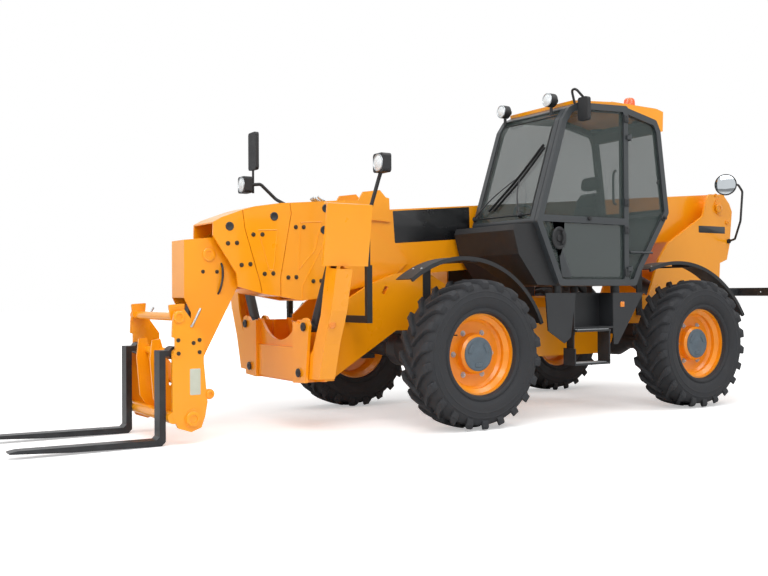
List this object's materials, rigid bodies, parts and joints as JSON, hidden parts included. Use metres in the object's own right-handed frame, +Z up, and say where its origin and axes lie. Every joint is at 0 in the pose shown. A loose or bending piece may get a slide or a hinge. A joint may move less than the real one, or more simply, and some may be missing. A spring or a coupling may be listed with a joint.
{
  "type": "telehandler",
  "caption": "Telescopic handler with four-section boom, fork carriage, front stabilisers, left cab and four steered wheels, boom lowered and stabilisers folded",
  "frame": {"origin": "on the ground below the middle of the overall length and width", "axes": "+X forward towards the forks, +Y to the machine's left, +Z up"},
  "size_m": [8.045, 2.51, 3.04],
  "materials": {
    "beacon_lens": "clear",
    "body_paint": "gloss",
    "black_plastic": "matte",
    "cab_paint": "satin",
    "window_glass": "clear",
    "engine_iron": "cast",
    "black_steel": "satin",
    "chrome_rod": "polished",
    "rim_paint": "gloss",
    "seat_fabric": "woven",
    "tyre_rubber": "matte"
  },
  "bodies": {
    "machine": {"chassis_frame": "body_paint", "front_cradle": "body_paint", "tow_hitch": "black_steel", "rear_bar": "black_steel", "engine_block": "engine_iron", "engine_pod": "black_plastic", "fenders": "black_plastic", "side_steps": "black_steel", "front_axle": "black_steel", "rear_axle": "black_steel", "cab_frame": "cab_paint", "cab_roof": "body_paint", "cab_glass": "window_glass", "cab_nose": "black_plastic", "cab_console": "black_plastic", "seat": "seat_fabric", "beacon": "beacon_lens", "lamps": "black_plastic", "mirrors": "black_plastic"},
    "steer_front_left_body": {"knuckle_front_left": "black_steel"},
    "wheel_front_left": {"rim_front_left": "rim_paint", "tyre_front_left": "tyre_rubber"},
    "steer_front_right_body": {"knuckle_front_right": "black_steel"},
    "wheel_front_right": {"rim_front_right": "rim_paint", "tyre_front_right": "tyre_rubber"},
    "steer_rear_left_body": {"knuckle_rear_left": "black_steel"},
    "wheel_rear_left": {"rim_rear_left": "rim_paint", "tyre_rear_left": "tyre_rubber"},
    "steer_rear_right_body": {"knuckle_rear_right": "black_steel"},
    "wheel_rear_right": {"rim_rear_right": "rim_paint", "tyre_rear_right": "tyre_rubber"},
    "boom_outer": {"boom_outer": "body_paint"},
    "boom_second": {"boom_second": "body_paint"},
    "boom_third": {"boom_third": "body_paint"},
    "boom_inner": {"boom_inner": "body_paint"},
    "carriage": {"carriage": "body_paint"},
    "fork_left": {"fork_left": "black_steel"},
    "fork_right": {"fork_right": "black_steel"},
    "lift_barrel": {"lift_barrel": "black_steel"},
    "lift_rod": {"lift_rod": "chrome_rod"},
    "tilt_barrel": {"tilt_barrel": "black_steel"},
    "tilt_rod": {"tilt_rod": "chrome_rod"},
    "leg_left": {"leg_left": "body_paint"},
    "leg_right": {"leg_right": "body_paint"},
    "pad_left": {"pad_left": "black_steel"},
    "pad_right": {"pad_right": "black_steel"},
    "strut_barrel_left": {"strut_barrel_left": "black_steel"},
    "strut_barrel_right": {"strut_barrel_right": "black_steel"},
    "strut_rod_left": {"strut_rod_left": "chrome_rod"},
    "strut_rod_right": {"strut_rod_right": "chrome_rod"},
    "engine_hood": {"engine_hood": "body_paint"},
    "steering_wheel": {"steering_wheel": "black_plastic"},
    "door": {"door": "cab_paint", "door_glass": "window_glass", "door_mirror": "black_plastic"}
  },
  "joints": [
    {"name": "steer_front_left", "type": "hinge", "parent": "machine", "child": "steer_front_left_body", "pos_m": [0.4, 0.79, 0.6315], "axis": [0, 0, 1], "range_deg": [-35, 35]},
    {"name": "wheel_front_left", "type": "hinge", "parent": "steer_front_left_body", "child": "wheel_front_left", "pos_m": [0.4, 1.02, 0.6315], "axis": [0, 1, 0], "continuous": true},
    {"name": "steer_front_right", "type": "hinge", "parent": "machine", "child": "steer_front_right_body", "pos_m": [0.4, -0.79, 0.6315], "axis": [0, 0, 1], "range_deg": [-35, 35]},
    {"name": "wheel_front_right", "type": "hinge", "parent": "steer_front_right_body", "child": "wheel_front_right", "pos_m": [0.4, -1.02, 0.6315], "axis": [0, 1, 0], "continuous": true},
    {"name": "steer_rear_left", "type": "hinge", "parent": "machine", "child": "steer_rear_left_body", "pos_m": [-2.35, 0.79, 0.6315], "axis": [0, 0, 1], "range_deg": [-35, 35]},
    {"name": "wheel_rear_left", "type": "hinge", "parent": "steer_rear_left_body", "child": "wheel_rear_left", "pos_m": [-2.35, 1.02, 0.6315], "axis": [0, 1, 0], "continuous": true},
    {"name": "steer_rear_right", "type": "hinge", "parent": "machine", "child": "steer_rear_right_body", "pos_m": [-2.35, -0.79, 0.6315], "axis": [0, 0, 1], "range_deg": [-35, 35]},
    {"name": "wheel_rear_right", "type": "hinge", "parent": "steer_rear_right_body", "child": "wheel_rear_right", "pos_m": [-2.35, -1.02, 0.6315], "axis": [0, 1, 0], "continuous": true},
    {"name": "boom_lift", "type": "hinge", "parent": "machine", "child": "boom_outer", "pos_m": [-3.68, 0, 2.107], "axis": [0, -1, 0], "range_deg": [0, 70]},
    {"name": "boom_extend", "type": "slide", "parent": "boom_outer", "child": "boom_second", "axis": [0.9967, 0, -0.0811], "range_m": [0, 3.35]},
    {"name": "boom_extend_third", "type": "slide", "parent": "boom_second", "child": "boom_third", "axis": [0.9967, 0, -0.0811], "range_m": [0, 3.35]},
    {"name": "boom_extend_inner", "type": "slide", "parent": "boom_third", "child": "boom_inner", "axis": [0.9967, 0, -0.0811], "range_m": [0, 3.35]},
    {"name": "carriage_tilt", "type": "hinge", "parent": "boom_inner", "child": "carriage", "pos_m": [2.68, 0, 0.199], "axis": [0, 1, 0], "range_deg": [-14, 95]},
    {"name": "fork_left_shift", "type": "slide", "parent": "carriage", "child": "fork_left", "axis": [0, 1, 0], "range_m": [-0.165, 0.02]},
    {"name": "fork_right_shift", "type": "slide", "parent": "carriage", "child": "fork_right", "axis": [0, -1, 0], "range_m": [-0.165, 0.02]},
    {"name": "lift_ram_swing", "type": "hinge", "parent": "machine", "child": "lift_barrel", "pos_m": [-3.5, 0, 0.95], "axis": [0, -1, 0], "range_deg": [-0.02, 47.81]},
    {"name": "lift_ram_stroke", "type": "slide", "parent": "lift_barrel", "child": "lift_rod", "axis": [0.9289, 0, 0.3703], "range_m": [-0.0005, 1.1934]},
    {"name": "tilt_ram_swing", "type": "hinge", "parent": "boom_inner", "child": "tilt_barrel", "pos_m": [2.37, 0, 1.469], "axis": [0, 1, 0], "range_deg": [-8.76, 1.31]},
    {"name": "tilt_ram_stroke", "type": "slide", "parent": "tilt_barrel", "child": "tilt_rod", "axis": [0.2887, 0, -0.9574], "range_m": [-0.0509, 0.3425]},
    {"name": "leg_left_fold", "type": "hinge", "parent": "machine", "child": "leg_left", "pos_m": [1.653, 0.48, 0.5], "axis": [-1, 0, 0], "range_deg": [0, 84.4]},
    {"name": "pad_left_swivel", "type": "hinge", "parent": "leg_left", "child": "pad_left", "pos_m": [1.653, 0.96, 1.612], "axis": [-1, 0, 0], "range_deg": [-10, 10]},
    {"name": "strut_left_swing", "type": "hinge", "parent": "machine", "child": "strut_barrel_left", "pos_m": [1.653, 0.57, 0.878], "axis": [-1, 0, 0], "range_deg": [-0.02, 98]},
    {"name": "strut_left_stroke", "type": "slide", "parent": "strut_barrel_left", "child": "strut_rod_left", "axis": [0, 0.4802, 0.8772], "range_m": [-0.0005, 0.4742]},
    {"name": "leg_right_fold", "type": "hinge", "parent": "machine", "child": "leg_right", "pos_m": [1.653, -0.48, 0.5], "axis": [1, 0, 0], "range_deg": [0, 84.4]},
    {"name": "pad_right_swivel", "type": "hinge", "parent": "leg_right", "child": "pad_right", "pos_m": [1.653, -0.96, 1.612], "axis": [1, 0, 0], "range_deg": [-10, 10]},
    {"name": "strut_right_swing", "type": "hinge", "parent": "machine", "child": "strut_barrel_right", "pos_m": [1.653, -0.57, 0.878], "axis": [1, 0, 0], "range_deg": [-0.02, 98]},
    {"name": "strut_right_stroke", "type": "slide", "parent": "strut_barrel_right", "child": "strut_rod_right", "axis": [0, -0.4802, 0.8772], "range_m": [-0.0005, 0.4742]},
    {"name": "cab_door", "type": "hinge", "parent": "machine", "child": "door", "pos_m": [-1.375, 1.165, 1.8], "axis": [0, 0, 1], "range_deg": [0, 90]},
    {"name": "engine_lid", "type": "hinge", "parent": "machine", "child": "engine_hood", "pos_m": [-0.9775, -0.37, 1.45], "axis": [-1, 0, 0], "range_deg": [0, 55]},
    {"name": "steering_column", "type": "hinge", "parent": "machine", "child": "steering_wheel", "pos_m": [-0.578, 0.68, 1.816], "axis": [-0.7399, 0, 0.6727], "continuous": true}
  ],
  "couplings": [
    {"joint": "boom_extend_third", "follows": "boom_extend", "ratio": 1},
    {"joint": "boom_extend_inner", "follows": "boom_extend", "ratio": 1},
    {"joint": "steer_front_right", "follows": "steer_front_left", "ratio": 1},
    {"joint": "steer_rear_right", "follows": "steer_rear_left", "ratio": 1},
    {"joint": "lift_ram_swing", "follows": "boom_lift", "ratio": 0.68273},
    {"joint": "lift_ram_stroke", "follows": "boom_lift", "m_per_rad": 0.97641},
    {"joint": "tilt_ram_swing", "follows": "carriage_tilt", "ratio": -0.092},
    {"joint": "tilt_ram_stroke", "follows": "carriage_tilt", "m_per_rad": 0.20627},
    {"joint": "strut_left_swing", "follows": "leg_left_fold", "ratio": 1.1609},
    {"joint": "strut_left_stroke", "follows": "leg_left_fold", "m_per_rad": 0.32157},
    {"joint": "strut_right_swing", "follows": "leg_right_fold", "ratio": 1.1609},
    {"joint": "strut_right_stroke", "follows": "leg_right_fold", "m_per_rad": 0.32157}
  ]
}
